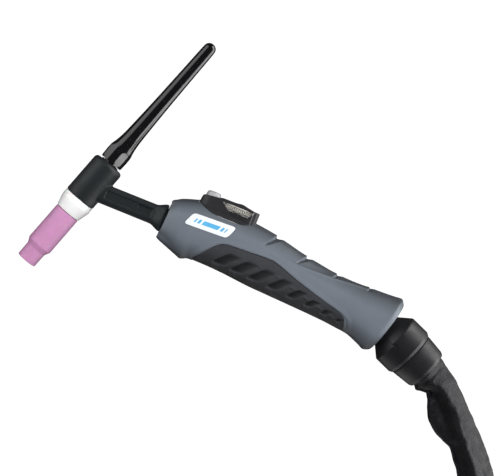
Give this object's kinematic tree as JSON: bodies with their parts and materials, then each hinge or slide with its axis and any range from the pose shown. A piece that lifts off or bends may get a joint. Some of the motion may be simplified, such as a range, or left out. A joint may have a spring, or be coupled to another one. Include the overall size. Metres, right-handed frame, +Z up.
{
  "type": "tig torch",
  "caption": "Angled TIG welding torch with ceramic nozzle, long back cap, two-tone handle with push button and thumbwheel, ball-jointed cable outlet and leather sleeve.",
  "frame": {"origin": "middle of the hand grip, on the axis of the torch neck", "axes": "+X along the handle from the head towards the cable, +Y to the holder's right, +Z up towards the trigger button"},
  "size_m": [0.4007, 0.044, 0.2481],
  "materials": {
    "insulation": "satin black moulded insulation",
    "brass": "turned brass",
    "copper": "drawn copper",
    "tungsten": "ground tungsten",
    "white_ptfe": "smooth white PTFE",
    "ceramic": "fine matt pink alumina",
    "gloss_black": "glossy black phenolic",
    "rubber": "matt black rubber",
    "grey_nylon": "satin blue-grey moulded nylon",
    "soft_grip": "matt black ribbed elastomer",
    "badge": "white label with a plain blue line",
    "steel": "plated steel",
    "module_black": "fine-textured black plastic",
    "button_grey": "satin light grey plastic",
    "wheel_grey": "ribbed warm grey plastic",
    "board": "green solder mask",
    "acetal": "natural acetal",
    "knuckle_black": "satin black moulded nylon",
    "leather": "black pebbled leather with creases"
  },
  "bodies": {
    "handle": {"torch_head": "insulation", "head_core": "brass", "neck_tube": "copper", "collet_body": "copper", "collet": "copper", "left_handle_shell": "grey_nylon", "right_handle_shell": "grey_nylon", "left_grip_skin": "soft_grip", "right_grip_skin": "soft_grip", "left_badge": "badge", "right_badge": "badge", "handle_screw_1": "steel", "handle_screw_2": "steel", "handle_screw_3": "steel", "handle_screw_4": "steel", "module_housing": "module_black", "trigger_spring": "steel", "microswitch": "module_black", "circuit_board": "board", "potentiometer": "module_black", "power_cable_nut": "brass", "cable_ferrule": "copper", "power_cable_front": "rubber", "control_cable_front": "rubber"},
    "cap_seal": {"back_cap_o_ring": "rubber"},
    "cap": {"back_cap": "gloss_black"},
    "tungsten": {"electrode": "tungsten"},
    "shield": {"heat_shield": "white_ptfe"},
    "cup": {"nozzle": "ceramic"},
    "button": {"trigger_button": "button_grey", "switch_plunger": "steel"},
    "wheel": {"thumbwheel": "wheel_grey", "potentiometer_shaft": "steel"},
    "seat": {"ball_seat_ring": "acetal"},
    "ball": {"knuckle_ball": "knuckle_black"},
    "cable_end": {"knuckle_collar": "knuckle_black", "sleeve_clamp_ring": "knuckle_black", "leather_sleeve": "leather", "power_cable": "rubber", "control_cable": "rubber"}
  },
  "joints": [
    {"name": "trigger_press", "type": "slide", "parent": "handle", "child": "button", "axis": [0, 0, -1], "range_m": [0, 0.0015], "stiffness_N_per_m": 1500, "springref_m": -0.0012, "deforming": ["trigger_spring"]},
    {"name": "thumbwheel_turn", "type": "hinge", "parent": "handle", "child": "wheel", "pos_m": [-0.027, 0, 0], "axis": [0, 0, 1], "range_deg": [-140, 140]},
    {"name": "back_cap_lift", "type": "slide", "parent": "handle", "child": "cap_seal", "axis": [0.3256, 0, 0.9455], "range_m": [0, 0.0076]},
    {"name": "back_cap_turn", "type": "hinge", "parent": "cap_seal", "child": "cap", "pos_m": [-0.13, 0, 0.02411], "axis": [0.3256, 0, 0.9455], "range_deg": [0, 2160]},
    {"name": "electrode_feed", "type": "slide", "parent": "handle", "child": "tungsten", "axis": [-0.3256, 0, -0.9455], "range_m": [0, 0.016]},
    {"name": "nozzle_lift", "type": "slide", "parent": "handle", "child": "shield", "axis": [-0.3256, 0, -0.9455], "range_m": [0, 0.0091]},
    {"name": "nozzle_turn", "type": "hinge", "parent": "shield", "child": "cup", "pos_m": [-0.14634, 0, -0.02335], "axis": [-0.3256, 0, -0.9455], "range_deg": [0, 2160]},
    {"name": "ball_swivel", "type": "hinge", "parent": "handle", "child": "seat", "pos_m": [0.0968, 0, -0.0094], "axis": [0.9608, 0, -0.2773], "range_deg": [-90, 90]},
    {"name": "ball_tilt", "type": "hinge", "parent": "seat", "child": "ball", "pos_m": [0.0968, 0, -0.0094], "axis": [0, 1, 0], "range_deg": [-18.5, 5]},
    {"name": "cable_turn", "type": "hinge", "parent": "ball", "child": "cable_end", "pos_m": [0.0968, 0, -0.0094], "axis": [0.9232, 0, -0.3843], "range_deg": [-90, 90]}
  ],
  "couplings": [
    {"joint": "back_cap_lift", "follows": "back_cap_turn", "m_per_rad": 0.00019894},
    {"joint": "nozzle_lift", "follows": "nozzle_turn", "m_per_rad": 0.00023873}
  ]
}
